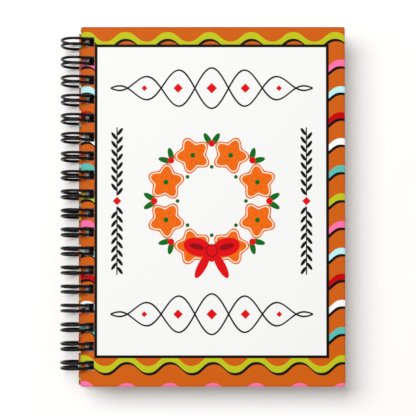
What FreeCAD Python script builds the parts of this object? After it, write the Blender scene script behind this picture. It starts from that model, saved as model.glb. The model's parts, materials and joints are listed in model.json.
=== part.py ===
"""A wire-bound book of gift card pockets, lying closed on its back cover.

Millimetres. +Z is up, +X runs from the wire to the fore-edge and +Y to the head of the book. The origin is
under the middle of the whole book, on the surface that its loops rest on.
"""

import FreeCAD
import Part
import Sketcher
import itertools
import math
import os

LEAF_COUNT = 5
ARCS_PER_LOOP = 4

SIZES = {
    # Covers: a printed sheet, a board and a liner, glued together and cut flush. The back one reaches further past
    # its holes
    "cover_height": 160.0,
    "cover_corner_radius": 1.0,
    "print_thickness": 0.2,
    "board_thickness": 0.9,
    "liner_thickness": 0.15,
    "back_cover_overhang": 0.4,
    # Leaves: sheets of card that stand back from the covers' edges
    "page_thickness": 0.35,
    "page_corner_radius": 3.0,
    "page_end_inset": 2.0,
    "page_fore_inset": 3.9,
    "leaf_clearance": 0.12,
    # Pockets: a panel of card held off its page by foam tape, round a card of the usual size
    "card_width": 85.6,
    "card_height": 54.0,
    "card_reveal": 12.0,
    "card_side_clearance": 0.7,
    "tape_width": 5.0,
    "tape_thickness": 0.85,
    "tape_gap": 0.4,
    "panel_thickness": 0.3,
    "panel_corner_radius": 2.0,
    "thumb_radius": 9.0,
    "pocket_spine_margin": 5.3,
    "pocket_fore_margin": 5.3,
    "pocket_tail_margin": 36.0,
    # Binding: three pairs of loops to the inch, through square holes
    "loop_pitch": 8.467,
    "wire_diameter": 1.25,
    "wire_pair_spacing": 2.45,
    "gap_under_book": 0.65,
    "gap_over_book": 1.7,
    "first_hole_inset": 6.7,
    "hole_margin": 1.95,
    "hole_clearance": 0.3,
    # Seam where the loops' tips close on the runs that link them: degrees from straight down, and a gap
    "seam_angle": 15.0,
    "seam_gap": 0.5,
}


def wire_reach(under, over):
    """Texts for how far from the axis the wire begins and ends where it passes between two heights."""
    nearest = f"max(0; max({under}; -{over}))"
    furthest = f"max(abs({under}); abs({over}))"
    begin = f"sqrt(loop_inner_radius^2 - {furthest}^2)"
    end = f"sqrt(loop_outer_radius^2 - {nearest}^2)"
    return begin, end


def spine_edge(under, over):
    """Formula for a sheet's spine edge, counted from the axis, with the wire in the middle of its holes."""
    begin, end = wire_reach(under, over)
    return f"=({begin} + {end} - hole_width) / 2 - Sizes.hole_margin"


def layout_formulas():
    """The sizes and places that follow from the driving sizes. Heights count up from the loops' axis."""
    back_begin, back_end = wire_reach("back_under", "back_over")
    formulas = {
        "cover_thickness": "=Sizes.print_thickness + Sizes.board_thickness + Sizes.liner_thickness",
        "pocket_thickness": "=Sizes.tape_thickness + Sizes.panel_thickness",
        "leaf_step": "=Sizes.page_thickness + pocket_thickness + Sizes.leaf_clearance",
        "leaves_thickness": f"={LEAF_COUNT} * leaf_step + Sizes.leaf_clearance",
        "book_thickness": "=2 * cover_thickness + leaves_thickness",
        "loop_inner_radius": "=(book_thickness + Sizes.gap_under_book + Sizes.gap_over_book) / 2",
        "loop_outer_radius": "=loop_inner_radius + Sizes.wire_diameter",
        "back_under": "=Sizes.gap_under_book - loop_inner_radius",
        "back_over": "=back_under + cover_thickness",
        "front_under": "=back_over + leaves_thickness",
        "front_over": "=front_under + cover_thickness",
        "hole_width": f"={back_end} - {back_begin} + 2 * Sizes.hole_clearance",
        "hole_height": "=Sizes.wire_pair_spacing + Sizes.wire_diameter + 2 * Sizes.hole_clearance",
        "panel_width": "=Sizes.card_width + 2 * (Sizes.card_side_clearance + Sizes.tape_width)",
        "panel_height": "=Sizes.card_height - Sizes.card_reveal + Sizes.tape_width",
        "panel_left": "=Sizes.hole_margin + hole_width + Sizes.pocket_spine_margin",
        "page_width": "=panel_left + panel_width + Sizes.pocket_fore_margin",
        "page_height": "=Sizes.cover_height - 2 * Sizes.page_end_inset",
        "cover_width": "=page_width + Sizes.page_fore_inset",
        "loop_count": "=floor((Sizes.cover_height - 2 * Sizes.first_hole_inset) / Sizes.loop_pitch) + 1",
        "first_hole_y": "=Sizes.cover_height / 2 - Sizes.first_hole_inset",
        "last_hole_y": "=first_hole_y - (loop_count - 1) * Sizes.loop_pitch",
        "back_spine": spine_edge("back_under", "back_over"),
        "front_spine": spine_edge("front_under", "front_over"),
        "axis_x": "=(loop_outer_radius - front_spine - cover_width) / 2",
        "axis_z": "=loop_outer_radius",
    }
    for leaf in range(1, LEAF_COUNT + 1):
        under = f"page_{leaf}_under"
        over = f"page_{leaf}_over"
        formulas[under] = f"=back_over + Sizes.leaf_clearance + {LEAF_COUNT - leaf} * leaf_step"
        formulas[over] = f"={under} + Sizes.page_thickness"
        formulas[f"page_{leaf}_spine"] = spine_edge(under, over)
    return formulas


def add_sheet(doc, name, cells):
    """A spreadsheet with one named cell to a row."""
    sheet = doc.addObject("Spreadsheet::Sheet", name)
    for row, (alias, content) in enumerate(cells.items(), start=1):
        sheet.set(f"A{row}", alias)
        sheet.set(f"B{row}", str(content))
        sheet.setAlias(f"B{row}", alias)
    return sheet


def place(target, x, y, z):
    """Bind an object's place to three expressions."""
    for axis, expression in zip("xyz", (x, y, z)):
        target.setExpression(f"Placement.Base.{axis}", expression)


def add_sketch(body, name):
    """An empty sketch on a body's own horizontal plane."""
    sketch = body.newObject("Sketcher::SketchObject", name)
    plane = next(item for item in body.Origin.OriginFeatures if item.Role == "XY_Plane")
    sketch.AttachmentSupport = [(plane, "")]
    sketch.MapMode = "FlatFace"
    return sketch


def dimension(sketch, name, expression, kind, *geometry):
    """A named dimension in a sketch, bound to an expression. It starts from the unit shape's 1."""
    index = sketch.addConstraint(Sketcher.Constraint(kind, *geometry, 1))
    sketch.renameConstraint(index, name)
    sketch.setExpression(f"Constraints.{name}", expression)


def add_rectangle(sketch, width, height, left=None, tail=None):
    """A rectangle with a corner at the sketch's origin, or as far from it as left and tail say."""
    corners = [FreeCAD.Vector(x, y, 0) for x, y in ((1, 1), (2, 1), (2, 2), (1, 2))]
    for start, end in zip(corners, corners[1:] + corners[:1]):
        sketch.addGeometry(Part.LineSegment(start, end), False)
    for side, direction in enumerate(("Horizontal", "Vertical", "Horizontal", "Vertical")):
        sketch.addConstraint(Sketcher.Constraint("Coincident", side, 2, (side + 1) % 4, 1))
        sketch.addConstraint(Sketcher.Constraint(direction, side))
    dimension(sketch, "across", width, "DistanceX", 0, 1, 0, 2)
    dimension(sketch, "along", height, "DistanceY", 1, 1, 1, 2)
    if left is None:
        sketch.addConstraint(Sketcher.Constraint("Coincident", 0, 1, -1, 1))
    else:
        dimension(sketch, "from_spine", left, "DistanceX", -1, 1, 0, 1)
        dimension(sketch, "from_tail", tail, "DistanceY", -1, 1, 0, 1)


def add_plate(doc, label, width, height, thickness, corner_radius):
    """A sheet with rounded corners. Its own origin is its lower tail corner at the spine edge."""
    body = doc.addObject("PartDesign::Body", label)
    outline = add_sketch(body, f"{label}_outline")
    add_rectangle(outline, width, height)
    pad = body.newObject("PartDesign::Pad", f"{label}_pad")
    pad.Profile = outline
    pad.setExpression("Length", thickness)
    doc.recompute()
    upright = [
        f"Edge{number}"
        for number, edge in enumerate(pad.Shape.Edges, start=1)
        if abs(edge.tangentAt(edge.FirstParameter).z) > math.cos(math.radians(45))
    ]
    corners = body.newObject("PartDesign::Fillet", f"{label}_corners")
    corners.Base = (pad, upright)
    corners.setExpression("Radius", corner_radius)
    doc.recompute()
    return body


def cut_through(doc, body, name, sketch):
    """Cut a sketch right through a body upwards, and stop if nothing came away."""
    volume = body.Shape.Volume
    cut = body.newObject("PartDesign::Pocket", name)
    cut.Profile = sketch
    cut.Type = "ThroughAll"
    cut.Reversed = True
    doc.recompute()
    if not body.Shape.Volume < volume:
        raise RuntimeError(f"{name} cuts nothing")
    return cut


def punch(doc, body, half_height, margin="Sizes.hole_margin"):
    """The row of square binding holes along a sheet's spine edge, from the tail up."""
    label = body.Label
    hole = add_sketch(body, f"{label}_hole")
    tail = f"{half_height} + Layout.last_hole_y - Layout.hole_height / 2"
    add_rectangle(hole, "Layout.hole_width", "Layout.hole_height", margin, tail)
    cut = cut_through(doc, body, f"{label}_punch", hole)
    row = body.newObject("PartDesign::LinearPattern", f"{label}_row")
    row.Originals = [cut]
    row.Direction = (hole, ["V_Axis"])
    row.Mode = "Spacing"
    row.setExpression("Offset", "Sizes.loop_pitch")
    row.setExpression("Occurrences", "Layout.loop_count")
    body.Tip = row
    doc.recompute()


def add_cover(doc, cover, layers, overhang):
    """A cover's three layers, from its lowest, each given as a name and the size of its thickness."""
    width = f"Layout.cover_width + {overhang}"
    margin = f"Sizes.hole_margin + {overhang}"
    spine = f"Layout.axis_x + Layout.{cover}_spine - {overhang}"
    height_so_far = f"Layout.axis_z + Layout.{cover}_under"
    nodes = []
    for layer, thickness in layers:
        label = f"{cover}_cover_{layer}"
        body = add_plate(doc, label, width, "Sizes.cover_height", thickness, "Sizes.cover_corner_radius")
        punch(doc, body, "Sizes.cover_height / 2", margin)
        place(body, spine, "-Sizes.cover_height / 2", height_so_far)
        height_so_far = f"{height_so_far} + {thickness}"
        nodes.append(body)
    return nodes


def add_page(doc, leaf):
    """A leaf's sheet of card, punched for the wire."""
    label = f"page_{leaf}"
    body = add_plate(
        doc,
        label,
        "Layout.page_width",
        "Layout.page_height",
        "Sizes.page_thickness",
        "Sizes.page_corner_radius",
    )
    punch(doc, body, "Layout.page_height / 2")
    place(
        body,
        f"Layout.axis_x + Layout.{label}_spine",
        "-Layout.page_height / 2",
        f"Layout.axis_z + Layout.{label}_under",
    )
    return body


def pocket_corner(leaf):
    """Expressions for the tail corner of a leaf's pocket at the spine side, on the page's upper face."""
    return (
        f"Layout.axis_x + Layout.page_{leaf}_spine + Layout.panel_left",
        "-Layout.page_height / 2 + Sizes.pocket_tail_margin",
        f"Layout.axis_z + Layout.page_{leaf}_over",
    )


def add_tape(doc, leaf):
    """Three strips of foam tape on a page: up both sides of the pocket and along its foot between them."""
    x, y, z = pocket_corner(leaf)
    fore_x = f"{x} + Layout.panel_width - Sizes.tape_width"
    foot_x = f"{x} + Sizes.tape_width + Sizes.tape_gap"
    foot_length = "Layout.panel_width - 2 * (Sizes.tape_width + Sizes.tape_gap)"
    strips = {
        "spine_side": (x, "Sizes.tape_width", "Layout.panel_height"),
        "fore_side": (fore_x, "Sizes.tape_width", "Layout.panel_height"),
        "foot": (foot_x, foot_length, "Sizes.tape_width"),
    }
    boxes = []
    for side, (left, across, along) in strips.items():
        box = doc.addObject("Part::Box", f"pocket_tape_{leaf}_{side}")
        box.setExpression("Length", across)
        box.setExpression("Width", along)
        box.setExpression("Height", "Sizes.tape_thickness")
        place(box, left, y, z)
        boxes.append(box)
    group = doc.addObject("Part::Compound", f"pocket_tape_{leaf}")
    group.Links = boxes
    return group


def add_panel(doc, leaf):
    """The pocket's face: a panel of card with a round thumb notch in the middle of its mouth."""
    label = f"pocket_panel_{leaf}"
    body = add_plate(
        doc,
        label,
        "Layout.panel_width",
        "Layout.panel_height",
        "Sizes.panel_thickness",
        "Sizes.panel_corner_radius",
    )
    notch = add_sketch(body, f"{label}_notch")
    notch.addGeometry(Part.Circle(FreeCAD.Vector(1, 1, 0), FreeCAD.Vector(0, 0, 1), 1), False)
    dimension(notch, "from_side", "Layout.panel_width / 2", "DistanceX", -1, 1, 0, 3)
    dimension(notch, "from_foot", "Layout.panel_height", "DistanceY", -1, 1, 0, 3)
    dimension(notch, "round", "Sizes.thumb_radius", "Radius", 0)
    cut_through(doc, body, f"{label}_thumb", notch)
    x, y, z = pocket_corner(leaf)
    place(body, x, y, f"{z} + Sizes.tape_thickness")
    return body


def quarter(centre, start, end, radius):
    """A quarter bend about a centre, from one unit direction to another."""
    middle = (start + end).normalize()
    return Part.Arc(*(centre + way * radius for way in (start, middle, end))).toShape()


def wire_path(size, layout):
    """Edges along the middle of the binding wire, from the head down.

    Each pair of loops is one long finger of wire: it leaves the seam under the spine, goes over the top and
    down through the holes, turns back in a round tip just short of the seam, and returns beside itself. Short
    straight runs link each finger to the next.
    """
    loop_radius = layout.loop_inner_radius + size.wire_diameter / 2
    bend_radius = size.wire_pair_spacing / 2
    half_seam = (size.seam_gap + size.wire_diameter) / 2
    spread = (half_seam + bend_radius) / loop_radius
    seam = math.radians(size.seam_angle) - math.pi / 2
    tip = seam + spread
    root = seam - spread + 2 * math.pi
    head = FreeCAD.Vector(0, 1, 0)
    tip_to_seam = FreeCAD.Vector(math.sin(tip), 0, -math.cos(tip))
    root_to_seam = FreeCAD.Vector(-math.sin(root), 0, math.cos(root))

    def on_loop(angle, y):
        return FreeCAD.Vector(loop_radius * math.cos(angle), y, loop_radius * math.sin(angle))

    def loop_arcs(start, end, y):
        stops = [start + (end - start) * step / (2 * ARCS_PER_LOOP) for step in range(2 * ARCS_PER_LOOP + 1)]
        points = [on_loop(angle, y) for angle in stops]
        return [Part.Arc(*points[at : at + 3]).toShape() for at in range(0, 2 * ARCS_PER_LOOP, 2)]

    edges = []
    for finger in range(int(layout.loop_count)):
        y = layout.first_hole_y - finger * size.loop_pitch
        upper = y + bend_radius
        lower = y - bend_radius
        if finger > 0:
            corner = on_loop(root, upper + bend_radius)
            edges.append(Part.makeLine(edges[-1].lastVertex(True).Point, corner + root_to_seam * bend_radius))
            edges.append(quarter(corner, root_to_seam, -head, bend_radius))
        edges += loop_arcs(root, tip, upper)
        edges.append(quarter(on_loop(tip, y), head, tip_to_seam, bend_radius))
        edges.append(quarter(on_loop(tip, y), tip_to_seam, -head, bend_radius))
        edges += loop_arcs(tip, root, lower)
        if finger + 1 < layout.loop_count:
            edges.append(quarter(on_loop(root, lower - bend_radius), head, root_to_seam, bend_radius))
    return edges


def least_gap(edges, size):
    """The least gap between two stretches of the wire that aren't neighbours along it, measured on points."""
    step = size.wire_diameter / 4
    points = []
    walked = 0.0
    for edge in edges:
        count = math.ceil(edge.Length / step)
        for number, point in enumerate(edge.discretize(count + 1)[:-1]):
            points.append((walked + edge.Length * number / count, point))
        walked += edge.Length
    neighbours = math.pi * size.wire_pair_spacing / 2
    return min(
        (here - there).Length - size.wire_diameter
        for (at, here), (later, there) in itertools.combinations(points, 2)
        if later - at > neighbours
    )


def add_wire(doc, size, layout):
    """The binding wire: a round section swept along its whole path in one piece."""
    edges = wire_path(size, layout)
    path = Part.Wire(edges)
    start = edges[0].firstVertex(True).Point
    along = edges[0].tangentAt(edges[0].FirstParameter)
    section = Part.Wire(Part.Circle(start, along, size.wire_diameter / 2).toShape())
    wire = doc.addObject("Part::Feature", "binding_wire")
    wire.Shape = path.makePipeShell([section], True, False)
    place(wire, "Layout.axis_x", "0", "Layout.axis_z")
    volume_share = wire.Shape.Volume / (math.pi * size.wire_diameter**2 / 4 * path.Length)
    two_fingers = len(edges) * 2 // int(layout.loop_count)
    print(f"binding_wire: {path.Length:.1f} mm long, volume {volume_share:.5f} of section x length")
    print(f"binding_wire: least gap to itself {least_gap(edges[:two_fingers], size):.3f} mm")
    return wire


def main():
    doc = FreeCAD.newDocument("gift_card_book")
    size = add_sheet(doc, "Sizes", SIZES)
    layout = add_sheet(doc, "Layout", layout_formulas())
    doc.recompute()
    cover_layers = [
        ("print", "Sizes.print_thickness"),
        ("board", "Sizes.board_thickness"),
        ("liner", "Sizes.liner_thickness"),
    ]
    nodes = [add_wire(doc, size, layout)]
    nodes += add_cover(doc, "back", cover_layers, "Sizes.back_cover_overhang")
    nodes += add_cover(doc, "front", cover_layers[::-1], "0")
    for leaf in range(1, LEAF_COUNT + 1):
        nodes += [add_page(doc, leaf), add_tape(doc, leaf), add_panel(doc, leaf)]
    doc.recompute()
    for item in doc.Objects:
        if "Invalid" in item.State or "Error" in item.State:
            raise RuntimeError(f"{item.Label} failed: {item.State}")
    os.makedirs("parts", exist_ok=True)
    for node in nodes:
        if node.Shape.isNull() or not node.Shape.isValid():
            raise RuntimeError(f"{node.Label} has no valid shape")
        node.Shape.exportStep(f"parts/{node.Label}.step")
    whole = Part.makeCompound([node.Shape for node in nodes]).optimalBoundingBox(False, False)
    print(f"{len(nodes)} nodes, {whole.XLength:.2f} x {whole.YLength:.2f} x {whole.ZLength:.2f} mm")
    print(f"loop axis at x {layout.axis_x:.3f}, z {layout.axis_z:.3f}")


main()
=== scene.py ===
# %% [markdown]
# # A wire-bound gift card book
#
# The object is a small book that holds gift cards. Two laminated covers and five leaves of card hang on
# one black wire, bent into pairs of loops, and each leaf carries a pocket. The construction, the sizes
# and the hinges come from the CAD model, which is loaded here as a fixed frame. This lesson gives every
# piece its finish: softened edges, paper, film, foam and nylon. Lengths are written in millimetres and
# turned into Blender's metres by MM.

# %% Load the frame
import json
import math

import bmesh
import bpy
from mathutils import Color, Matrix, Vector


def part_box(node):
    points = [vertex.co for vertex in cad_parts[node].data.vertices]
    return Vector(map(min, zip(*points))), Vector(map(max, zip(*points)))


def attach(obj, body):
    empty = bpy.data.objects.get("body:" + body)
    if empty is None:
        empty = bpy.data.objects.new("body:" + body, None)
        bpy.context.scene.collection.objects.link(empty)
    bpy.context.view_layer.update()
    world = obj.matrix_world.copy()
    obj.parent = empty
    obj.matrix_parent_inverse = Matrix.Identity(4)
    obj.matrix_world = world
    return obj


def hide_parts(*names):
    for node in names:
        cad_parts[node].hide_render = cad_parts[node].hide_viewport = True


MM = 0.001
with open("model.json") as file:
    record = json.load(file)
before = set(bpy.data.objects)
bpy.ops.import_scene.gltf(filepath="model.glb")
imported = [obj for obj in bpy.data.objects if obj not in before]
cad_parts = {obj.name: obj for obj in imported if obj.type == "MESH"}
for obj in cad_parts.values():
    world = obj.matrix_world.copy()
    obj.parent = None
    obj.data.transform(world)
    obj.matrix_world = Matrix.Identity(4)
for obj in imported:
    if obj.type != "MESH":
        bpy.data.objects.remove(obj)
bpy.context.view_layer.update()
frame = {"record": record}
body_of = {node: body for body, nodes in frame["record"]["behaviour"]["bodies"].items() for node in nodes}

# %% [markdown]
# ## The camera
#
# The photograph looks almost straight down. The panel on the cover is a hair wider at its foot than at
# its head, so the camera leans by a degree, from the tail towards the head. The loops show where it
# stood, because their upper halves hide their lower halves only straight below it. What the lean doesn't
# bring into the picture, a shift of the lens does, as on a view camera. The cover gives the scale: its
# edges are known in millimetres and in pixels.

# %% Camera
PHOTO_SIDE_PX = 416
COVER_LEFT_PX = 80.85
COVER_TOP_PX = 26.55
COVER_HEIGHT_PX = 359.8
CAMERA_FOOT_PX = (199, 287)
CAMERA_HEIGHT_PX = 1600
CAMERA_LEAN = math.radians(1.2)
NEAREST_SEEN = 10 * MM

cover_low, cover_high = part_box("front_cover_print")
pixel = (cover_high.y - cover_low.y) / COVER_HEIGHT_PX


def under_pixel(across, down):
    """The point of the cover's face that a pixel of the photograph shows."""
    x = cover_low.x + (across - COVER_LEFT_PX) * pixel
    y = cover_high.y - (down - COVER_TOP_PX) * pixel
    return Vector((x, y, cover_high.z))


lens = bpy.data.cameras.new("camera")
camera = bpy.data.objects.new("camera", lens)
camera.location = under_pixel(*CAMERA_FOOT_PX) + Vector((0, 0, CAMERA_HEIGHT_PX * pixel))
camera.rotation_euler.x = CAMERA_LEAN
half_photo = PHOTO_SIDE_PX / 2
middle_seen = Matrix.Rotation(-CAMERA_LEAN, 3, "X") @ (under_pixel(half_photo, half_photo) - camera.location)
depth_px = -middle_seen.z / pixel
focus_px = depth_px**2 / CAMERA_HEIGHT_PX
lens.lens = lens.sensor_width * focus_px / PHOTO_SIDE_PX
lens.shift_x = middle_seen.x / pixel / depth_px * focus_px / PHOTO_SIDE_PX
lens.shift_y = middle_seen.y / pixel / depth_px * focus_px / PHOTO_SIDE_PX
lens.clip_start = NEAREST_SEEN
bpy.context.scene.collection.objects.link(camera)
bpy.context.scene.camera = camera
print(f"camera: {camera.location.z / MM:.0f} mm up, lens {lens.lens:.1f} mm, {pixel / MM:.4f} mm to a pixel")

# %% [markdown]
# ## Light
#
# The shadow in the photograph fades out to the right and below, and hardly shows on the other two sides.
# That is one broad soft light, above and to the upper left. The distances at which the shadow begins and
# ends, set against the height of the cover, give how far the light reaches from straight overhead, so the
# light is a level panel with those edges. It hangs high, because the paper is almost as bright on its far
# side. An even sky fills the rest. Together they light a level surface so that white paper comes out as
# white as it is written: the panel's power is worked out from how much of its light reaches the table,
# spot by spot.

# %% Light panel
KEY_SHARE = 0.74
KEY_HEIGHT = 3.0
KEY_LEFT, KEY_RIGHT = -1.55, -0.05
KEY_NEAR, KEY_FAR = 0.12, 1.0
KEY_SPOTS = 16

panel_light = bpy.data.lights.new("light panel", "AREA")
panel_light.shape = "RECTANGLE"
panel_light.size = (KEY_RIGHT - KEY_LEFT) * KEY_HEIGHT
panel_light.size_y = (KEY_FAR - KEY_NEAR) * KEY_HEIGHT
shares = [(spot + 0.5) / KEY_SPOTS for spot in range(KEY_SPOTS)]
across = [KEY_LEFT + (KEY_RIGHT - KEY_LEFT) * share for share in shares]
away = [KEY_NEAR + (KEY_FAR - KEY_NEAR) * share for share in shares]
fall = sum((1 + x**2 + y**2) ** -2 for x in across for y in away) / KEY_SPOTS**2
panel_light.energy = KEY_SHARE * math.pi**2 * KEY_HEIGHT**2 / fall
key = bpy.data.objects.new("light panel", panel_light)
key.location = Vector(((KEY_LEFT + KEY_RIGHT) / 2, (KEY_NEAR + KEY_FAR) / 2, 1)) * KEY_HEIGHT
bpy.context.scene.collection.objects.link(key)
bpy.context.scene.view_settings.view_transform = "Standard"
print(f"light panel: {panel_light.size:.1f} x {panel_light.size_y:.1f} m, {panel_light.energy:.0f} W")

# %% [markdown]
# ## Writing patterns as arithmetic
#
# A print is flat colour with exact edges, and no picture file is used here, so each printed shape is
# worked out from the point's own place on the sheet. A shape is a distance in millimetres: below zero
# inside it and above zero outside. Nodes can do such sums, but one by one they are tedious to place. The
# small class below holds one socket and turns ordinary arithmetic into Math nodes, so that a shape reads
# like its formula.

# %% Fields
class Field:
    """A number that varies over a surface. Arithmetic on it adds Math nodes to its tree."""

    def __init__(self, tree, socket):
        self.tree = tree
        self.socket = socket

    def math(self, operation, *others):
        node = self.tree.nodes.new("ShaderNodeMath")
        node.operation = operation
        for socket, value in zip(node.inputs, (self, *others)):
            feed(self.tree, value, socket)
        return Field(self.tree, node.outputs["Value"])


FIELD_METHODS = {
    "__add__": "ADD",
    "__sub__": "SUBTRACT",
    "__mul__": "MULTIPLY",
    "__truediv__": "DIVIDE",
    "__mod__": "FLOORED_MODULO",
    "__abs__": "ABSOLUTE",
    "least": "MINIMUM",
    "most": "MAXIMUM",
    "above": "GREATER_THAN",
    "angle_from": "ARCTAN2",
    "floor": "FLOOR",
    "root": "SQRT",
    "cos": "COSINE",
    "sin": "SINE",
}
for method, operation in FIELD_METHODS.items():
    setattr(Field, method, lambda self, *others, operation=operation: self.math(operation, *others))


def feed(tree, value, socket):
    """Link a field or a socket into a socket, or set a plain number or colour on it."""
    if isinstance(value, Field):
        tree.links.new(value.socket, socket)
    elif isinstance(value, bpy.types.NodeSocket):
        tree.links.new(value, socket)
    else:
        socket.default_value = value


print(f"fields: {len(FIELD_METHODS)} kinds of sum")

# %% [markdown]
# ## Ink
#
# Colours are noted as a screen shows them, and shaders need them linear, so they are converted once. A
# shape's distance becomes a mask that fades over a tenth of a millimetre, as ink does on paper. Shapes
# are then laid over one another like print runs.

# %% Inks and masks
INK_BLUR = 0.06


def ink(red, green, blue):
    """A screen colour, 0 to 255, as a linear colour."""
    return (*Color((red / 255, green / 255, blue / 255)).from_srgb_to_scene_linear(), 1.0)


def spread(field, start, end, low=0.0, high=1.0):
    """Carry a field from one range to another, and hold it there past the ends."""
    node = field.tree.nodes.new("ShaderNodeMapRange")
    for name, value in (("From Min", start), ("From Max", end), ("To Min", low), ("To Max", high)):
        node.inputs[name].default_value = value
    feed(field.tree, field, node.inputs["Value"])
    return Field(field.tree, node.outputs["Result"])


def inside(distance, blur=INK_BLUR):
    """A mask that is 1 inside a shape and 0 outside it."""
    return spread(distance, blur, -blur)


def over(base, colour, mask):
    """Lay a colour over another where a mask is 1."""
    node = mask.tree.nodes.new("ShaderNodeMix")
    node.data_type = "RGBA"
    sockets = {socket.identifier: socket for socket in node.inputs}
    for name, value in (("Factor_Float", mask), ("A_Color", base), ("B_Color", colour)):
        feed(mask.tree, value, sockets[name])
    return next(socket for socket in node.outputs if socket.identifier == "Result_Color")


ORANGE = ink(206, 95, 18)
NEAR_BLACK = ink(5, 4, 3)
LIME = ink(190, 195, 29)
PINK = ink(251, 114, 168)
PALE_CYAN = ink(188, 240, 241)
RED = ink(192, 0, 6)
WHITE = ink(250, 250, 250)
TEAL = ink(91, 189, 177)
PAPER_WHITE = ink(243, 243, 242)
print("inks: orange ground", [round(value, 3) for value in ORANGE[:3]])

# %% [markdown]
# ## Shapes
#
# A few distances cover the whole print: a rectangle, an oval that may be turned, and a line inside a
# shape's edge. Each could be a mask from the start, but distances can still be joined by the lesser one,
# cut by the greater one, and drawn in by adding to them.

# %% Shapes
def rectangle(x, y, low, high):
    """Distance outside an upright rectangle between two corners."""
    middle_x, middle_y = (low[0] + high[0]) / 2, (low[1] + high[1]) / 2
    across = abs(x - middle_x) - (high[0] - low[0]) / 2
    along = abs(y - middle_y) - (high[1] - low[1]) / 2
    return across.most(along)


def oval(x, y, centre, radii, turn=0.0):
    """Distance outside an oval, close to true near its edge."""
    turned_x = (x - centre[0]) * math.cos(turn) + (y - centre[1]) * math.sin(turn)
    turned_y = (y - centre[1]) * math.cos(turn) - (x - centre[0]) * math.sin(turn)
    across = turned_x / radii[0]
    along = turned_y / radii[1]
    return ((across * across + along * along).root() - 1.0) * min(radii)


def outline(distance, inset, width):
    """A line of some width inside a shape's edge."""
    return abs(distance + inset) - width / 2


print("shapes: rectangle, oval, outline")

# %% [markdown]
# ## Node groups and materials
#
# What several finishes share is a node group, built once: the wave stripes of the print, the fibre of card,
# and the edge that hands wear and that a painted shade darkens on the film. Each group takes coordinates in
# millimetres, so it keeps its scale on any sheet. The helpers below open a group, place one in a material,
# and start a material with the constants that belong on its shader.

# %% Group and material helpers
NUMBER = "NodeSocketFloat"
POINT = "NodeSocketVector"
COLOUR = "NodeSocketColor"


def new_group(name, inputs, outputs):
    """An empty node group. Returns it with the sockets inside it."""
    tree = bpy.data.node_groups.new(name, "ShaderNodeTree")
    for direction, sockets in (("INPUT", inputs), ("OUTPUT", outputs)):
        for label, kind in sockets.items():
            tree.interface.new_socket(label, in_out=direction, socket_type=kind)
    return tree, tree.nodes.new("NodeGroupInput").outputs, tree.nodes.new("NodeGroupOutput").inputs


def place_group(tree, group, **values):
    """Put a group into a tree, feed its inputs by name and return its outputs."""
    node = tree.nodes.new("ShaderNodeGroup")
    node.node_tree = group
    for name, value in values.items():
        feed(tree, value, node.inputs[name])
    return node.outputs


def new_material(name, **constants):
    """A material with numbers set on its shader. Underscores in a name stand for spaces."""
    material = bpy.data.materials.new(name)
    material.use_nodes = True
    shader = material.node_tree.nodes["Principled BSDF"]
    for socket, value in constants.items():
        shader.inputs[socket.replace("_", " ")].default_value = value
    return material, material.node_tree, shader.inputs


print("helpers: groups and materials")

# %% [markdown]
# ## Places and unevenness
#
# Every finish needs to know where on its piece a point lies, and no sheet is quite even. Object
# coordinates are used for the place: they come in real lengths, and a piece that sits at the origin keeps
# them when its hinge turns it. Noise gives the unevenness. Most of its values lie in the range below,
# which each finish spreads to a range of its own. Relief that is too fine to model is a bump.

# %% Coordinates, noise and bump
NOISE_RANGE = (0.3, 0.7)


def sheet_point(tree, centre=(0, 0, 0)):
    """A place on a piece in millimetres from a centre, as a point for textures."""
    source = tree.nodes.new("ShaderNodeTexCoord")
    mapping = tree.nodes.new("ShaderNodeMapping")
    mapping.inputs["Scale"].default_value = (1 / MM,) * 3
    mapping.inputs["Location"].default_value = -Vector(centre) / MM
    tree.links.new(source.outputs["Object"], mapping.inputs["Vector"])
    return mapping.outputs["Vector"]


def sheet_place(tree, centre=(0, 0, 0)):
    """The same place as two numbers, across and along the sheet, and as that point."""
    point = sheet_point(tree, centre)
    split = tree.nodes.new("ShaderNodeSeparateXYZ")
    tree.links.new(point, split.inputs["Vector"])
    return Field(tree, split.outputs["X"]), Field(tree, split.outputs["Y"]), point


def noise(tree, point, scale, detail=2.0, stretch=(1, 1, 1)):
    """Soft noise from 0 to 1, with about scale features to a millimetre."""
    mapping = tree.nodes.new("ShaderNodeMapping")
    mapping.inputs["Scale"].default_value = stretch
    feed(tree, point, mapping.inputs["Vector"])
    texture = tree.nodes.new("ShaderNodeTexNoise")
    texture.inputs["Scale"].default_value = scale
    texture.inputs["Detail"].default_value = detail
    tree.links.new(mapping.outputs["Vector"], texture.inputs["Vector"])
    return Field(tree, texture.outputs["Fac"])


def bump(tree, height, depth):
    """A bumped normal from a height of 0 to 1 that stands for a depth in millimetres."""
    node = tree.nodes.new("ShaderNodeBump")
    node.inputs["Strength"].default_value = 1.0
    node.inputs["Distance"].default_value = depth * MM
    feed(tree, height, node.inputs["Height"])
    return node.outputs["Normal"]


print("helpers: sheet_point, sheet_place, noise, bump")

# %% [markdown]
# ## Wave stripes
#
# The ground of the covers is a stack of wavy stripes in six colours, each with a dark shadow that is the
# same stripe printed once more, a little to the right and below. A wave is a cosine along the sheet, made
# a little fuller so that its crests are rounder and its flanks steeper. Stripes are that wave repeated
# downwards, so one remainder gives the place within a stripe and one whole number gives its colour, which
# a ramp with hard steps picks. The stripes aren't quite evenly spaced: a slow drift moves them by up to
# half a millimetre within each run of six.

# %% Group: wave stripes
WAVE_LENGTH = 18.65
WAVE_HEIGHT = 4.2
WAVE_FULLNESS = 0.2
STRIPE_SPACING = 11.98
STRIPE_WIDTH = 2.86
STRIPE_DRIFT = 0.5
DRIFT_PHASE = 1.73
SHADOW_SHIFT = (0.5, -1.16)
STRIPE_COLOURS = (LIME, PINK, PALE_CYAN, RED, WHITE, TEAL)

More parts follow.
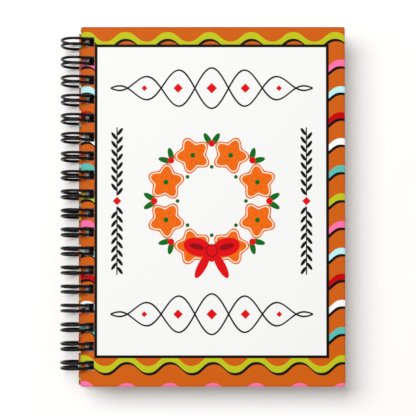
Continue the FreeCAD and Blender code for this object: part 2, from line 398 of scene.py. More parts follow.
wave_stripes, place, result = new_group(
    "Wave stripes", {"X": NUMBER, "Y": NUMBER, "Height": NUMBER}, {"Colour": COLOUR}
)
x, y, height = (Field(wave_stripes, place[name]) for name in ("X", "Y", "Height"))


def stripe_depth(x, y):
    """How far a place lies below a line half a gap above the first stripe."""
    swing = (x * (math.tau / WAVE_LENGTH)).cos()
    swing = swing * (swing * swing * -WAVE_FULLNESS + (1 + WAVE_FULLNESS))
    depth = (swing - 1.0) * height * 0.5 - y + (STRIPE_SPACING - STRIPE_WIDTH) / 2
    turn = depth * (math.tau / STRIPE_SPACING / len(STRIPE_COLOURS)) - DRIFT_PHASE
    return depth - turn.cos() * STRIPE_DRIFT


def in_stripe(depth):
    """A mask of all the stripes."""
    return inside(abs(depth % STRIPE_SPACING - STRIPE_SPACING / 2) - STRIPE_WIDTH / 2)


depth = stripe_depth(x, y)
shadow = stripe_depth(x - SHADOW_SHIFT[0], y - SHADOW_SHIFT[1])
number = (depth / STRIPE_SPACING).floor() % len(STRIPE_COLOURS)

ramp = wave_stripes.nodes.new("ShaderNodeValToRGB")
ramp.color_ramp.interpolation = "CONSTANT"
while len(ramp.color_ramp.elements) < len(STRIPE_COLOURS):
    ramp.color_ramp.elements.new(1.0)
for index, colour in enumerate(STRIPE_COLOURS):
    ramp.color_ramp.elements[index].position = index / len(STRIPE_COLOURS)
    ramp.color_ramp.elements[index].color = colour
feed(wave_stripes, (number + 0.5) / len(STRIPE_COLOURS), ramp.inputs["Fac"])

shadowed = over(ORANGE, NEAR_BLACK, in_stripe(shadow))
striped = over(shadowed, ramp.outputs["Color"], in_stripe(depth))
feed(wave_stripes, striped, result["Colour"])
print(f"wave stripes: {len(STRIPE_COLOURS)} colours, one stripe every {STRIPE_SPACING} mm")

# %% [markdown]
# ## Card fibre
#
# Card isn't one flat tone. It has a cloudy formation some millimetres wide, seen as a faint change of
# tone, and short fibres that make its surface uneven. Two noises give the clouds and the fibres, and the
# group puts out a tone and a height.

# %% Group: card fibre
CLOUD_SCALE = 0.25
FIBRE_SCALE = 3.0
FIBRE_STRETCH = (0.35, 1.0, 1.0)
CLOUD_SHARE = 0.5

card_fibre, place, result = new_group("Card fibre", {"Point": POINT}, {"Tone": NUMBER, "Height": NUMBER})
clouds = noise(card_fibre, place["Point"], CLOUD_SCALE, detail=3.0)
fibres = noise(card_fibre, place["Point"], FIBRE_SCALE, detail=4.0, stretch=FIBRE_STRETCH)
feed(card_fibre, clouds * CLOUD_SHARE + fibres * (1 - CLOUD_SHARE), result["Tone"])
feed(card_fibre, fibres, result["Height"])
print("card fibre: clouds", CLOUD_SCALE, "and fibres", FIBRE_SCALE, "to a millimetre")

# %% [markdown]
# ## Handled and shaded edges
#
# A book is picked up by its edges. They are rougher in places and a little darker than the middle, partly
# from wear and partly as a painted shade along the rim, with the change breaking up along the edge. The
# group measures the distance to the sheet's outline and lets noise eat into it.

# %% Group: handled and shaded edge
EDGE_REACH = 0.7
EDGE_NOISE_SCALE = 0.8

handled_and_shaded_edge, place, result = new_group(
    "Handled and shaded edge",
    {"X": NUMBER, "Y": NUMBER, "Half width": NUMBER, "Half height": NUMBER, "Point": POINT},
    {"Mask": NUMBER},
)
fields = {name: Field(handled_and_shaded_edge, place[name]) for name in ("X", "Y", "Half width", "Half height")}
edge_distance = (abs(fields["X"]) - fields["Half width"]).most(abs(fields["Y"]) - fields["Half height"])
eaten = noise(handled_and_shaded_edge, place["Point"], EDGE_NOISE_SCALE, detail=3.0)
feed(handled_and_shaded_edge, spread(edge_distance + eaten * EDGE_REACH, -EDGE_REACH, EDGE_REACH), result["Mask"])
print(f"handled edge: reaches {EDGE_REACH} mm in")

# %% [markdown]
# ## The front cover's print
#
# The printed sheet shows the stripes all round a white panel with a black frame. A wreath of iced star
# biscuits stands in the middle of the panel, with a flourish over and under it and a sprig at either
# side. Insets of the panel are measured on the photograph and written in millimetres from the cover's
# edges. Below the first stripe the waves are a little longer, they grow higher towards the tail, and
# beside most of the holes they stand nearer to the panel, as if the sheet had been drawn when it was
# glued. Single stripes were lifted a little there as well: each lift is written with the height, from the
# cover's middle, of the stripe that it moves.

# %% Layout of the front cover
FIRST_CREST_INSET = 2.15
CREST_FROM_SPINE = 1.27
SPINE_DRAW = 1.4
SPINE_DRAW_ACROSS = (10.6, 3.9)
SPINE_DRAW_DOWN = (-64.0, -55.0)
SPINE_LIFTS = (
    (39.8, 0.45),
    (27.5, 1.35),
    (16.0, 0.85),
    (3.1, 0.4),
    (-8.7, 0.4),
    (-32.7, 0.4),
    (-43.8, -0.5),
    (-56.7, 1.6),
    (-79.8, 0.85),
)
LIFT_REACH = (6.5, 4.8)
LONGER_BELOW = (70.5, 67.0)
LONGER_WAVES = 1.021
TAIL_WAVES = 1.007
TAIL_WAVE_HEIGHT = 4.85
PANEL_INSET = {"spine": 6.11, "fore": 7.17, "head": 7.81, "tail": 12.65}
FRAME_LINE = 1.26

cover_middle = (cover_low + cover_high) / 2
half_cover = (cover_high - cover_low) / 2 / MM
panel_low = (PANEL_INSET["spine"] - half_cover.x, PANEL_INSET["tail"] - half_cover.y)
panel_high = (half_cover.x - PANEL_INSET["fore"], half_cover.y - PANEL_INSET["head"])
panel_middle = [(low + high) / 2 for low, high in zip(panel_low, panel_high)]
panel_half = [(high - low) / 2 for low, high in zip(panel_low, panel_high)]
print(f"panel: {2 * panel_half[0]:.1f} x {2 * panel_half[1]:.1f} mm")

# %% [markdown]
# ### The wreath
#
# Eight star biscuits stand in a ring. Rather than drawing eight, the ring is folded: the angle round the
# middle is reduced to one sector, so one biscuit, one pair of leaves and one berry come out eight times.
# A biscuit's edge is a circle whose radius swells five times round. Leaves are left out where the bow
# will lie.

# %% Wreath of star biscuits
BISCUIT = ink(240, 108, 14)
TOASTED = ink(214, 84, 6)
ICING = ink(255, 240, 220)
GREEN = ink(10, 104, 22)
BOW_RED = ink(222, 10, 18)
BOW_SHADE = ink(150, 4, 14)

BISCUITS = 8
RING_RADIUS = 22.0
STAR_RADIUS = 7.2
STAR_SWELL = 1.15
STAR_POINTS = 5
ICING_INSET = 1.0
ICING_LINE = 0.55
SWEET_RADIUS = 1.1
TOAST_SCALE = 0.9
TOAST_RANGE = (0.45, 0.8)
GREEN_LEAF_AT = (5.4, 1.7)
GREEN_LEAF_RADII = (3.2, 1.25)
GREEN_LEAF_TURN = 0.55
BERRY_AT, BERRY_RADIUS = 3.6, 1.45
DOT_AT, DOT_RADIUS = -6.8, 0.85
BOW_ROOM = 2.5


def disc(x, y, centre, radius):
    """Distance outside a disc."""
    return oval(x, y, centre, (radius, radius))


def print_wreath(paper, x, y, point):
    """Lay the ring of biscuits over a colour. x and y count from the middle of the ring."""
    sector = math.tau / BISCUITS
    half_sector = sector / 2
    turned = (y.angle_from(x) % sector) - half_sector
    reach = (x * x + y * y).root()
    out = reach * turned.cos() - RING_RADIUS
    side = reach * turned.sin()
    star_edge = (side.angle_from(out) * STAR_POINTS).cos() * STAR_SWELL + STAR_RADIUS
    star = (out * out + side * side).root() - star_edge

    gap_out = abs(side) * math.sin(half_sector) + (out + RING_RADIUS) * math.cos(half_sector)
    gap_side = (out + RING_RADIUS) * math.sin(half_sector) - abs(side) * math.cos(half_sector)
    leaf_at = (RING_RADIUS + GREEN_LEAF_AT[0], GREEN_LEAF_AT[1])
    leaf = oval(gap_out, gap_side, leaf_at, GREEN_LEAF_RADII, GREEN_LEAF_TURN)
    leaf = leaf.most(y * -1.0 - (RING_RADIUS + BOW_ROOM))
    berry = disc(gap_out, gap_side, (RING_RADIUS + BERRY_AT, 0.0), BERRY_RADIUS)
    inner_dot = disc(gap_out, gap_side, (RING_RADIUS + DOT_AT, 0.0), DOT_RADIUS)

    baked = over(BISCUIT, TOASTED, spread(noise(x.tree, point, TOAST_SCALE, detail=4.0), *TOAST_RANGE))
    colour = over(paper, GREEN, inside(leaf))
    colour = over(colour, BOW_RED, inside(berry))
    colour = over(colour, GREEN, inside(inner_dot))
    colour = over(colour, baked, inside(star))
    colour = over(colour, ICING, inside(outline(star, ICING_INSET, ICING_LINE)))
    return over(colour, GREEN, inside(disc(out, side, (0, 0), SWEET_RADIUS)))


print(f"wreath: {BISCUITS} biscuits on a ring of {2 * RING_RADIUS:.0f} mm")

# %% [markdown]
# ### The bow
#
# A bow of red ribbon closes the ring at its foot. It could be traced as one outline, but ribbon is a few
# rounded shapes: an end that hangs down, a loop, the fold in the loop, and the knot with its rim. Each is
# an oval, written with its colour, middle, radii and turn, and the left half is the right one folded
# over.

# %% Bow
BOW_PARTS = (
    (BOW_RED, (4.1, -6.6), (2.0, 6.4), 0.5),
    (BOW_RED, (6.3, 1.5), (6.3, 4.0), 0.25),
    (BOW_SHADE, (6.6, 1.7), (3.4, 1.3), 0.25),
    (BOW_SHADE, (0.0, 0.0), (2.7, 2.9), 0.0),
    (BOW_RED, (0.0, 0.0), (2.2, 2.4), 0.0),
)


def print_bow(paper, x, y):
    """Lay a tied bow over a colour. x and y count from its knot."""
    x = abs(x)
    colour = paper
    for ribbon, centre, radii, turn in BOW_PARTS:
        colour = over(colour, ribbon, inside(oval(x, y, centre, radii, turn)))
    return colour


print(f"bow: {len(BOW_PARTS)} ovals, folded")

# %% [markdown]
# ### Flourish and sprigs
#
# In a flourish two thin lines wind round each other and die away at both ends, with a small lozenge in
# each eye. A line's distance is measured straight up, so it is divided by the line's slope to keep the
# stroke even. A sprig is a thin stem with leaves that point outwards from a lozenge, the leaves of one
# side set half a step from the other's. Both halves are one half, folded at the middle.

# %% Flourish and sprigs
FLOURISH_HALF = 45.0
FLOURISH_SWING = 9.0
FLOURISH_TURN = 30.0
FLOURISH_LINE = 0.75
LOZENGE = 2.4
LOZENGES_TO = 0.9
SPRIG_STEP = 3.8
SPRIG_STEM = 0.55
SPRIG_LEAF_OUT = 1.35
SPRIG_LEAF_RADII = (1.95, 0.72)
SPRIG_LEAF_TURN = 0.62
SPRIG_LOZENGE = 0.8 * LOZENGE


def print_flourish(paper, x, y):
    """Two winding lines with lozenges in their eyes. x and y count from the flourish's middle."""
    along = x / FLOURISH_HALF
    envelope = (along * along * -1.0 + 1.0).most(0.0)
    wind = math.tau / FLOURISH_TURN
    swing = (x * wind).cos() * envelope * FLOURISH_SWING
    slope = (x * wind).sin() * envelope * (FLOURISH_SWING * wind)
    line = abs(y - swing).least(abs(y + swing)) / (slope * slope + 1.0).root() - FLOURISH_LINE / 2
    line = line.most(abs(x) - FLOURISH_HALF)
    eye = abs((x + FLOURISH_TURN / 4) % (FLOURISH_TURN / 2) - FLOURISH_TURN / 4)
    lozenge = (eye + abs(y) - envelope * LOZENGE).most(abs(x) - FLOURISH_HALF * LOZENGES_TO)
    colour = over(paper, NEAR_BLACK, inside(line))
    return over(colour, BOW_RED, inside(lozenge))


def print_sprig(paper, x, y, pairs):
    """A stem with pairs of leaves to the left and right of a lozenge. x and y count from its middle."""
    half_length = pairs * SPRIG_STEP
    x = abs(x) - LOZENGE
    past_end = abs(x - half_length / 2) - half_length / 2
    stem = (abs(y) - SPRIG_STEM / 2).most(past_end)
    half_step = y.above(0.0) * (SPRIG_STEP / 2)
    leaf_at = (SPRIG_STEP / 2, SPRIG_LEAF_OUT)
    leaf = oval((x + half_step) % SPRIG_STEP, abs(y), leaf_at, SPRIG_LEAF_RADII, SPRIG_LEAF_TURN)
    leaf = leaf.most(past_end + half_step)
    colour = over(paper, NEAR_BLACK, inside(stem.least(leaf)))
    return over(colour, BOW_RED, inside(x + LOZENGE + abs(y) - SPRIG_LOZENGE))


print(f"flourish: {2 * FLOURISH_HALF:.0f} mm long")

# %% [markdown]
# ### The printed sheet
#
# The sheet is coated paper under a satin film. The film levels the paper, so its bump is very shallow, and
# its shine varies a little, as film does. Its edges are a shade darker, partly from handling and partly as
# painted shade along the rim.

# %% Material: front cover print
FLOURISH_INSET = 19.5
SPRIG_INSET = 10.0
SPRIG_PAIRS = 8
PRINT_SHINE = 0.06
PEEL_SCALE = 1.6
FILM_ROUGHNESS = (0.4, 0.5)
FILM_RELIEF = 0.012
# Edges darken partly from wear and partly as painted shade along the cover's rim.
EDGE_WEAR_AND_SHADE = 0.28
EDGE_ROUGHER = 0.15


def edge_wear_and_shade(tree, x, y, point):
    """How near a point lies to the edge of a cover's sheet, from 0 to 1: where hands wear it, and where the
    film's rim gets painted shade.
    """
    sizes = {"Half width": half_cover.x, "Half height": half_cover.y}
    return Field(tree, place_group(tree, handled_and_shaded_edge, X=x, Y=y, Point=point, **sizes)["Mask"])


def film_finish(tree, sockets, colour, point, edge):
    """The satin film over a printed colour: edges darker from wear and from painted shade along the rim,
    uneven shine and a trace of relief.
    """
    # Painted shade and wear: the film's edges are darkened towards black.
    feed(tree, over(colour, NEAR_BLACK, edge * EDGE_WEAR_AND_SHADE), sockets["Base Color"])
    peel = noise(tree, point, PEEL_SCALE)
    feed(tree, spread(peel, *NOISE_RANGE, *FILM_ROUGHNESS) + edge * EDGE_ROUGHER, sockets["Roughness"])
    feed(tree, bump(tree, peel, FILM_RELIEF), sockets["Normal"])


def front_print():
    """The stripes, the panel and what is printed on it, under film."""
    material, tree, sockets = new_material("front cover print under film", Specular_IOR_Level=PRINT_SHINE)
    x, y, point = sheet_place(tree, cover_middle)
    from_crest = x + (half_cover.x - CREST_FROM_SPINE)
    beside_holes = spread(x + half_cover.x, *SPINE_DRAW_ACROSS)
    drawn = beside_holes * spread(y, *SPINE_DRAW_DOWN, 0.0, SPINE_DRAW)
    lifted = y
    for at, lift in SPINE_LIFTS:
        lifted = lifted - spread(abs(y - at), *LIFT_REACH, 0.0, lift) * beside_holes
    down = (half_cover.y, -half_cover.y)
    longer = spread(y, *LONGER_BELOW, 1.0, LONGER_WAVES) * spread(y, *down, 1.0, TAIL_WAVES)
    waves = {
        "X": (from_crest - drawn) / longer,
        "Y": lifted - (half_cover.y - FIRST_CREST_INSET),
        "Height": spread(y, *down, WAVE_HEIGHT, TAIL_WAVE_HEIGHT),
    }
    stripes = place_group(tree, wave_stripes, **waves)["Colour"]
    panel = rectangle(x, y, panel_low, panel_high)
    colour = over(stripes, NEAR_BLACK, inside(panel))
    colour = over(colour, PAPER_WHITE, inside(panel + FRAME_LINE))
    right, up = x - panel_middle[0], y - panel_middle[1]
    colour = print_flourish(colour, right, abs(up) - (panel_half[1] - FLOURISH_INSET))
    colour = print_sprig(colour, up, abs(right) - (panel_half[0] - SPRIG_INSET), SPRIG_PAIRS)
    colour = print_wreath(colour, right, up, point)
    colour = print_bow(colour, right, up + RING_RADIUS)
    film_finish(tree, sockets, colour, point, edge_wear_and_shade(tree, x, y, point))
    return material


FRONT_PRINT = front_print()
print(f"front print: {len(FRONT_PRINT.node_tree.nodes)} nodes")

# %% [markdown]
# ### Back cover and liners
#
# The back cover and the insides of both covers carry the stripes alone, each sheet cut from another place
# in the run, so their waves don't line up with the front. The liners have no film: they are plain
# uncoated paper, printed with the stripes at half their size.

# %% Materials: back print and liners
BACK_CREST = (5.0, 71.0)
BACK_LINER_CREST = (2.6, 69.5)
FRONT_LINER_CREST = (-3.0, 75.0)
LINER_SCALE = 2.0
LINER_TONE = 0.12
LINER_EDGE = 0.1
LINER_ROUGHNESS = (0.72, 0.85)
LINER_RELIEF = 0.03


def fibre_tone(tree, fibre, most):
    """How much of a shade the clouds in card lay over its colour."""
    return spread(Field(tree, fibre["Tone"]), *NOISE_RANGE, 0.0, most)


def fibre_finish(tree, sockets, fibre, roughness, relief):
    """The shine and the relief that its fibres give to card."""
    feed(tree, spread(Field(tree, fibre["Height"]), *NOISE_RANGE, *roughness), sockets["Roughness"])
    feed(tree, bump(tree, fibre["Height"], relief), sockets["Normal"])


def striped_sheet(name, middle, crest, filmed):
    """A sheet with stripes all over, their first crest at a place counted from the sheet's middle."""
    material, tree, sockets = new_material(name, Specular_IOR_Level=PRINT_SHINE)
    x, y, point = sheet_place(tree, middle)
    scale = 1.0 if filmed else LINER_SCALE
    waves = {"X": (x - crest[0]) * scale, "Y": (y - crest[1]) * scale, "Height": WAVE_HEIGHT}
    colour = place_group(tree, wave_stripes, **waves)["Colour"]
    edge = edge_wear_and_shade(tree, x, y, point)
    if filmed:
        film_finish(tree, sockets, colour, point, edge)
        return material
    fibre = place_group(tree, card_fibre, Point=point)
    shade = fibre_tone(tree, fibre, LINER_TONE) + edge * LINER_EDGE
    feed(tree, over(colour, NEAR_BLACK, shade), sockets["Base Color"])
    fibre_finish(tree, sockets, fibre, LINER_ROUGHNESS, LINER_RELIEF)
    return material


back_low, back_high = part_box("back_cover_print")
back_middle = (back_low + back_high) / 2
BACK_PRINT = striped_sheet("back cover print under film", back_middle, BACK_CREST, True)
BACK_LINER = striped_sheet("back cover liner paper", back_middle, BACK_LINER_CREST, False)
FRONT_LINER = striped_sheet("front cover liner paper", cover_middle, FRONT_LINER_CREST, False)
print("striped sheets: back print and two liners")

# %% [markdown]
# ## Board and cut edges
#
# The board between print and liner is pressed from layers of pulp, which show as fine lines on its cut
# edge, and so do the layers of paper and kraft card. Single lines could be drawn, but no two edges are
# alike. A noise that is drawn out along the sheet gives such lines anywhere, so one finish serves all
# three, each with its own two tones.

# %% Materials: board and cut edges
BOARD_TONE = ink(238, 235, 228)
BOARD_SHADE = ink(196, 190, 180)
PAPER_EDGE_TONE = ink(246, 244, 240)
PAPER_EDGE_SHADE = ink(222, 218, 210)
KRAFT_EDGE_TONE = ink(206, 168, 124)
KRAFT_EDGE_SHADE = ink(176, 134, 92)
LAYER_SCALE = 9.0
LAYER_STRETCH = (0.06, 0.06, 1.0)
LAYER_SHARE = 0.6
SHADE_RANGE = (0.35, 0.7)
CUT_SHINE = 0.15
CUT_ROUGHNESS = (0.8, 0.95)
CUT_RELIEF = 0.05


def pressed_board(name, light, shade):
    """Card cut through: fine lines along the layers, and no shine."""
    material, tree, sockets = new_material(name, Specular_IOR_Level=CUT_SHINE)
    point = sheet_point(tree)
    layers = noise(tree, point, LAYER_SCALE, detail=3.0, stretch=LAYER_STRETCH)
    clouds = Field(tree, place_group(tree, card_fibre, Point=point)["Tone"])
    mask = spread(layers * LAYER_SHARE + clouds * (1 - LAYER_SHARE), *SHADE_RANGE)
    feed(tree, over(light, shade, mask), sockets["Base Color"])
    feed(tree, spread(layers, *NOISE_RANGE, *CUT_ROUGHNESS), sockets["Roughness"])
    feed(tree, bump(tree, layers, CUT_RELIEF), sockets["Normal"])
    return material


BOARD = pressed_board("pressed board", BOARD_TONE, BOARD_SHADE)
CUT_PAPER = pressed_board("cut edge of paper", PAPER_EDGE_TONE, PAPER_EDGE_SHADE)
KRAFT_EDGE = pressed_board("cut edge of kraft card", KRAFT_EDGE_TONE, KRAFT_EDGE_SHADE)
print("board: layers", LAYER_SCALE, "to a millimetre")

# %% [markdown]
# ## Leaf card
#
# A leaf is smooth white card with a printed band at its head and tail, and two lines to write on under
# its pocket. The bands could be faces of their own, but print has no thickness, so they are masks over
# the card's white. They show the stripes of the covers, from another place in the run on each leaf.

# %% Material: leaf
BAND_FROM_SPINE = 8.4
BAND_HEAD = 17.0
BAND_TAIL = 13.0
BAND_RULE = 0.94
BAND_CREST_Y = 70.0
BAND_STEP = 4.0
WRITING_LINES = (-52.0, -59.0)
WRITING_INSET = 22.0
WRITING_LINE = 0.3
RULE_GREY = ink(120, 116, 112)
LEAF_SHINE = 0.25
LEAF_TONE = 0.06
LEAF_ROUGHNESS = (0.58, 0.72)
LEAF_RELIEF = 0.02


def leaf_card(leaf):
    """White card with a striped band at its head and tail, and two lines to write on under its pocket."""
    low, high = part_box(f"page_{leaf}")
    material, tree, sockets = new_material(f"leaf {leaf} card", Specular_IOR_Level=LEAF_SHINE)
    x, y, point = sheet_place(tree, (low.x, 0, low.z))
    width = (high.x - low.x) / MM
    half_height = high.y / MM
    waves = {"X": x + BAND_STEP * leaf, "Y": y - BAND_CREST_Y, "Height": WAVE_HEIGHT}
    stripes = place_group(tree, wave_stripes, **waves)["Colour"]
    head = rectangle(x, y, (BAND_FROM_SPINE, half_height - BAND_HEAD), (2 * width, 2 * half_height))
    tail = rectangle(x, y, (BAND_FROM_SPINE, -2 * half_height), (2 * width, BAND_TAIL - half_height))
    bands = head.least(tail)
    colour = over(PAPER_WHITE, NEAR_BLACK, inside(bands))
    colour = over(colour, stripes, inside(bands + BAND_RULE))
    for line_y in WRITING_LINES:
        line_low = (WRITING_INSET, line_y - WRITING_LINE / 2)
        line_high = (width - WRITING_INSET, line_y + WRITING_LINE / 2)
        colour = over(colour, RULE_GREY, inside(rectangle(x, y, line_low, line_high)))
    fibre = place_group(tree, card_fibre, Point=point)
    feed(tree, over(colour, BOARD_SHADE, fibre_tone(tree, fibre, LEAF_TONE)), sockets["Base Color"])
    fibre_finish(tree, sockets, fibre, LEAF_ROUGHNESS, LEAF_RELIEF)
    return material


print(f"leaf: bands of {BAND_HEAD:.0f} and {BAND_TAIL:.0f} mm at head and tail")

# %% [markdown]
# ## Kraft card
#
# The pockets are brown kraft card, whose long fibres show as paler flecks, with a line of printed
# stitches along the glued sides and foot. Sewn thread would have to be modelled, but these stitches are
# flat print. They are a line inside the outline of the panel, cut into dashes by a remainder: counted
# upwards beside the sides, and across along the foot. The head is left open, so there the outline runs on
# far above the panel.

# %% Material: kraft pocket
KRAFT = ink(198, 154, 106)
KRAFT_DARK = ink(160, 114, 70)
KRAFT_FLECK = ink(226, 194, 152)
STITCH_INSET = 2.4
STITCH_WIDTH = 0.55
STITCH_STEP = 4.0
STITCH_SHARE = 0.62
OPEN_HEAD = 3
KRAFT_SHINE = 0.2
KRAFT_CLOUDS = 0.55
FLECK_SCALE = 1.4
FLECK_STRETCH = (1.0, 0.22, 1.0)
FLECK_RANGE = (0.62, 0.72)
FLECK_SHARE = 0.5
KRAFT_ROUGHNESS = (0.7, 0.9)
KRAFT_RELIEF = 0.05


def kraft_card(leaf):
    """Brown card with long fibres and a printed line of stitches along the glued sides."""
    low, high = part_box(f"pocket_panel_{leaf}")
    material, tree, sockets = new_material(f"pocket {leaf} kraft card", Specular_IOR_Level=KRAFT_SHINE)
    x, y, point = sheet_place(tree, ((low.x + high.x) / 2, low.y, low.z))
    half_width = (high.x - low.x) / 2 / MM
    height = (high.y - low.y) / MM
    fibre = place_group(tree, card_fibre, Point=point)
    flecks = noise(tree, point, FLECK_SCALE, detail=5.0, stretch=FLECK_STRETCH)
    clouds = spread(Field(tree, fibre["Tone"]), *SHADE_RANGE, 0.0, KRAFT_CLOUDS)
    colour = over(KRAFT, KRAFT_DARK, clouds)
    colour = over(colour, KRAFT_FLECK, spread(flecks, *FLECK_RANGE, 0.0, FLECK_SHARE))
    seam = rectangle(x, y, (-half_width, 0), (half_width, OPEN_HEAD * height))
    beside = (abs(x) - half_width).above(y * -1.0)
    along = beside * y + (beside * -1.0 + 1.0) * x
    dash = abs(along % STITCH_STEP - STITCH_STEP / 2) - STITCH_STEP * STITCH_SHARE / 2
    colour = over(colour, ICING, inside(outline(seam, STITCH_INSET, STITCH_WIDTH).most(dash)))
    feed(tree, colour, sockets["Base Color"])
    fibre_finish(tree, sockets, fibre, KRAFT_ROUGHNESS, KRAFT_RELIEF)
    return material


print(f"kraft pocket: a stitch every {STITCH_STEP} mm")

# %% [markdown]
# ## Foam
#
# The tape is white foam with small closed cells, seen as pits where it is cut. Noise would make it look like
# stone. A Voronoi texture places cells instead, and its distance grows from each cell's middle, as the wall
# of a pit rises. The pits are painted darker towards their middles: painted shade in the hollows of white
# foam.

# %% Material: foam tape
FOAM = ink(240, 240, 236)
FOAM_PIT_SHADE = ink(206, 206, 200)
FOAM_FINISH = {"Roughness": 0.85, "Specular_IOR_Level": 0.2}
FOAM_RELIEF = 0.08
CELL_SCALE = 3.2
CELL_RIM = 0.7


def foam():
    """White foam: small closed cells, seen as pits where the tape is cut, with painted shade in the pits."""
    material, tree, sockets = new_material("white foam tape", **FOAM_FINISH)
    point = sheet_point(tree)
    cells = tree.nodes.new("ShaderNodeTexVoronoi")
    cells.inputs["Scale"].default_value = CELL_SCALE
    feed(tree, point, cells.inputs["Vector"])
    depth = spread(Field(tree, cells.outputs["Distance"]), 0.0, CELL_RIM)
    # Painted shade: each pit darkens towards its middle.
    feed(tree, over(FOAM_PIT_SHADE, FOAM, depth), sockets["Base Color"])
    feed(tree, bump(tree, depth, FOAM_RELIEF), sockets["Normal"])
    return material


FOAM_TAPE = foam()
print("foam: cells", CELL_SCALE, "to a millimetre")

# %% [markdown]
# ## Coated wire
#
# Binding wire is steel in a skin of black nylon. The skin is glossy but drawn, so its shine changes along
# the wire, and tiny scuffs dull it. Base colour stays almost black, and the reflections do the rest.

# %% Material: black coated wire
WIRE_BLACK = ink(2, 2, 3)
WIRE_SCUFF = ink(28, 28, 30)
WIRE_SHINE = 0.12
WIRE_ROUGHNESS = (0.1, 0.18)
WIRE_RELIEF = 0.01
DRAWN_SCALE = 1.1
SCUFF_SCALE = 4.0
SCUFF_RANGE = (0.62, 0.75)
SCUFF_PALER = 0.3
SCUFF_ROUGHER = 0.2


def coated_wire():
    """Black nylon over steel: drawn along, with small scuffs."""
    material, tree, sockets = new_material("black coated wire", Specular_IOR_Level=WIRE_SHINE)
    point = sheet_point(tree)
    drawn = noise(tree, point, DRAWN_SCALE, detail=3.0)
    scuffs = spread(noise(tree, point, SCUFF_SCALE, detail=4.0), *SCUFF_RANGE)
    feed(tree, over(WIRE_BLACK, WIRE_SCUFF, scuffs * SCUFF_PALER), sockets["Base Color"])
    roughness = spread(drawn, *NOISE_RANGE, *WIRE_ROUGHNESS) + scuffs * SCUFF_ROUGHER
    feed(tree, roughness, sockets["Roughness"])
    feed(tree, bump(tree, drawn, WIRE_RELIEF), sockets["Normal"])
    return material


WIRE = coated_wire()
print("wire: black nylon skin")

# %% [markdown]
# ## From a bmesh to a piece
#
# Every new piece goes the same way: its bmesh has its normals turned outwards, becomes an object at the
# origin, gets its materials, rides on the body of the CAD node that it stands for, and hides that node.

# %% Piece helper
def make_piece(name, mesh, node, materials, smooth=False):
    """Turn a bmesh into a named piece that stands for a CAD node."""
    bmesh.ops.recalc_face_normals(mesh, faces=mesh.faces[:])
    open_edges = sum(not edge.is_manifold for edge in mesh.edges)
    data = bpy.data.meshes.new(name)
    mesh.to_mesh(data)
    mesh.free()
    for material in materials:
        data.materials.append(material)
    data.polygons.foreach_set("use_smooth", [smooth] * len(data.polygons))
    piece = bpy.data.objects.new(name, data)
    bpy.context.scene.collection.objects.link(piece)
    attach(piece, body_of[node])
    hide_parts(node)
    print(f"{name}: {len(data.polygons)} faces, {open_edges} open edges")
    return piece


print("piece helper: make_piece")

# %% [markdown]
# ## Die-cut sheets
#
# Covers and leaves are sheets with rounded corners and a row of square holes along the spine, one hole to
# each pair of loops. The holes lie at the even pitch of a binding with three pairs to the inch. Their
# places come first, because every sheet and the wire share them.

# %% Holes
LOOP_PITCH = 8.467 * MM
LOOP_COUNT = 18
FIRST_HOLE_Y = 73.3 * MM
HOLE_MARGIN = 1.95 * MM
HOLE_WIDTH = 4.0135 * MM
HOLE_HEIGHT = 4.3 * MM

hole_rows = [FIRST_HOLE_Y - number * LOOP_PITCH for number in range(LOOP_COUNT)]
print(f"holes: {LOOP_COUNT}, from y {hole_rows[0] / MM:.1f} to {hole_rows[-1] / MM:.1f} mm")

# %% [markdown]
# ### Thickness and rims
#
# A flat mesh becomes a sheet when its faces are extruded. Solidify would do that as well, but here the
# raised points move by the exact thickness. A die presses the edge down as it cuts, so the rim is
# bevelled by a few hundredths of a millimetre. Side walls get the second material, the raw cut edge.

# %% Thicken a sheet
RIM_STEPS = 2
WALL_SLOPE = 0.5


def round_off(mesh, geometry, radius, affect, steps):
    """Bevel edges or corner points with a round profile."""
    bmesh.ops.bevel(
        mesh,
        geom=geometry,
        offset=radius,
        offset_type="OFFSET",
        affect=affect,
        segments=steps,
        profile=0.5,
        material=-1,
    )


def vertices(items):
    """The vertices among what an operator returns."""
    return [item for item in items if isinstance(item, bmesh.types.BMVert)]


def once(items):
    """Each of some items once, in their first order, which a set wouldn't keep."""
    return list(dict.fromkeys(items))


def is_wall(face):
    """Whether a face of a sheet stands upright."""
    return abs(face.normal.z) < WALL_SLOPE


def thicken(mesh, thickness, rim):
    """Raise a flat mesh into a sheet, give its walls the second material, and press its rims down."""
    raised = bmesh.ops.extrude_face_region(mesh, geom=mesh.faces[:])["geom"]
    bmesh.ops.translate(mesh, verts=vertices(raised), vec=(0, 0, thickness))
    bmesh.ops.recalc_face_normals(mesh, faces=mesh.faces[:])
    for face in mesh.faces:
        face.material_index = int(is_wall(face))
    rims = [edge for edge in mesh.edges if len({is_wall(face) for face in edge.link_faces}) == 2]
    round_off(mesh, rims, rim, "EDGES", RIM_STEPS)


print("sheet helpers: round_off, vertices, once, thicken")

# %% [markdown]
# ### A sheet with holes
#
# A boolean could cut the holes, but it leaves odd triangles. Here one face gets its round corners, is cut
# into strips along the holes' edges with bisect_plane, loses the faces in the holes, and is then
# thickened.

# %% Cut a sheet
WELD = 1e-7
CORNER_STEPS = 6


def slice_faces(mesh, point, normal):
    """Cut every face along a plane."""
    everything = mesh.verts[:] + mesh.edges[:] + mesh.faces[:]
    bmesh.ops.bisect_plane(mesh, geom=everything, dist=WELD, plane_co=point, plane_no=normal)


